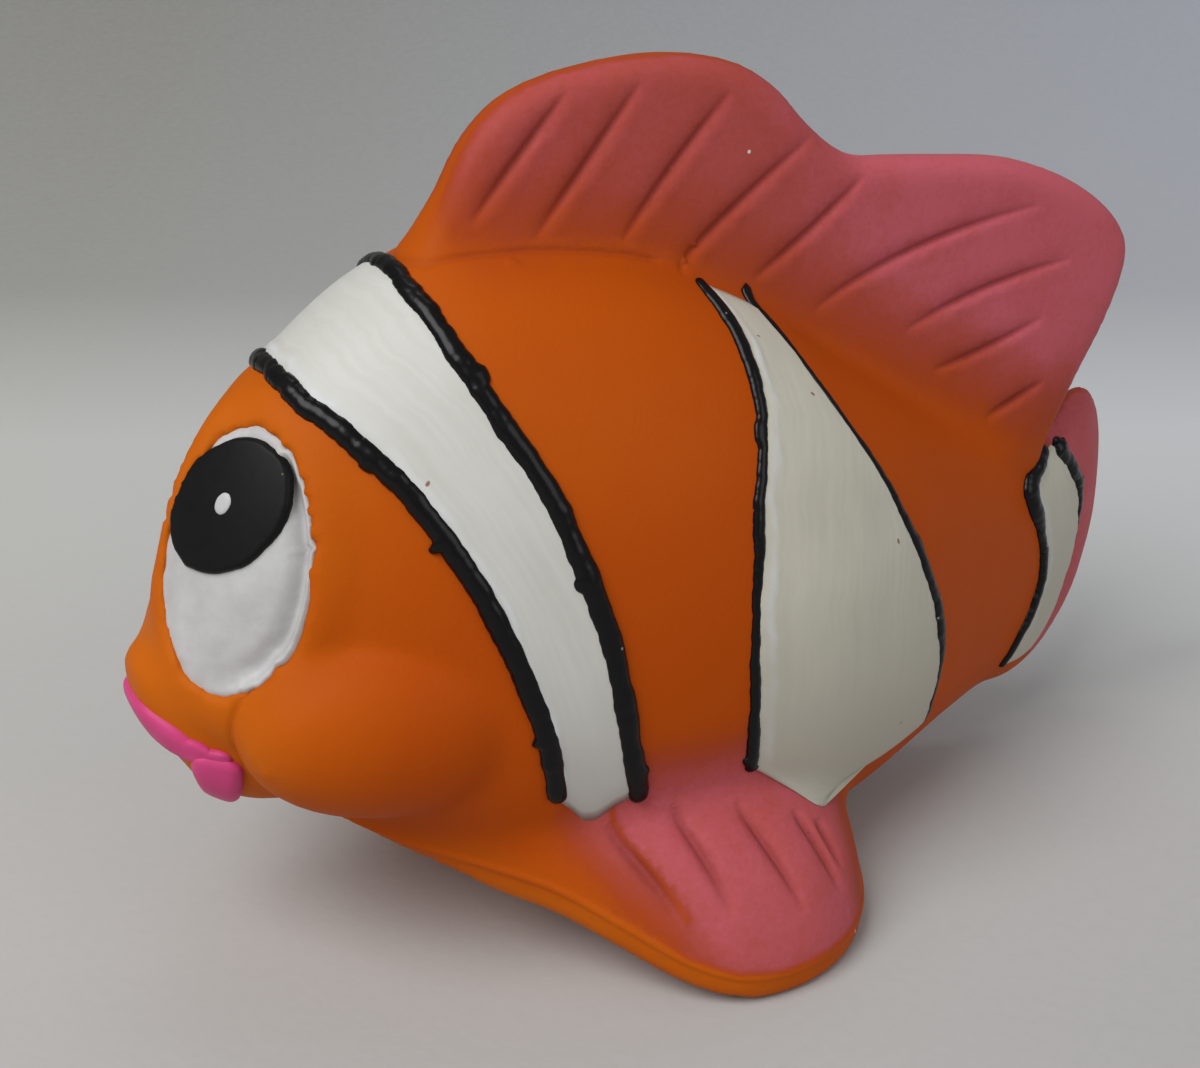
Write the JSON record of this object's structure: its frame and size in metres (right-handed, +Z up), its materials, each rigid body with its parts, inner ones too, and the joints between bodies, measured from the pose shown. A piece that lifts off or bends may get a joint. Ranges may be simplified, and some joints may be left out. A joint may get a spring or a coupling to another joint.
{
  "type": "squeaky bath toy",
  "caption": "Hollow moulded latex clownfish bath toy with ribbed fins, raised painted bands and eyes, and a reed squeaker let into its flat belly.",
  "frame": {"origin": "centre of the footprint, on the plane that the belly and the side fins rest on", "axes": "+Z up, nose toward -X and tail toward +X, left flank toward -Y, right flank toward +Y"},
  "size_m": [0.1148, 0.063, 0.081],
  "materials": {
    "latex": "matte moulded latex, airbrushed pink on the fins",
    "white_paint": "matte brushed paint",
    "black_paint": "glossy raised bead of paint",
    "eye_white": "satin paint",
    "pupil_black": "satin domed paint",
    "lip_pink": "satin paint",
    "squeaker_plastic": "moulded polyethylene",
    "reed_brass": "rolled strip"
  },
  "bodies": {
    "fish": {"body_shell": "latex", "squeaker_barrel": "squeaker_plastic", "reed_block": "squeaker_plastic", "reed_wedge": "squeaker_plastic", "head_band": "white_paint", "head_line_front": "black_paint", "head_line_rear": "black_paint", "flank_band_left": "white_paint", "flank_band_right": "white_paint", "flank_line_front_left": "black_paint", "flank_line_front_right": "black_paint", "flank_line_rear_left": "black_paint", "flank_line_rear_right": "black_paint", "tail_band_left": "white_paint", "tail_band_right": "white_paint", "tail_line_front_left": "black_paint", "tail_line_front_right": "black_paint", "tail_line_rear_left": "black_paint", "tail_line_rear_right": "black_paint", "eye_white_left": "eye_white", "eye_white_right": "eye_white", "pupil_left": "pupil_black", "pupil_right": "pupil_black", "eye_glint_left": "eye_white", "eye_glint_right": "eye_white", "lip_upper": "lip_pink", "lip_lower": "lip_pink"},
    "reed": {"reed": "reed_brass"}
  },
  "joints": [
    {"name": "reed_flex", "type": "hinge", "parent": "fish", "child": "reed", "pos_m": [-0.0057, 0, 0.0097], "axis": [1, 0, 0], "range_deg": [0, 4], "stiffness_Nm_per_rad": 0.00002}
  ]
}
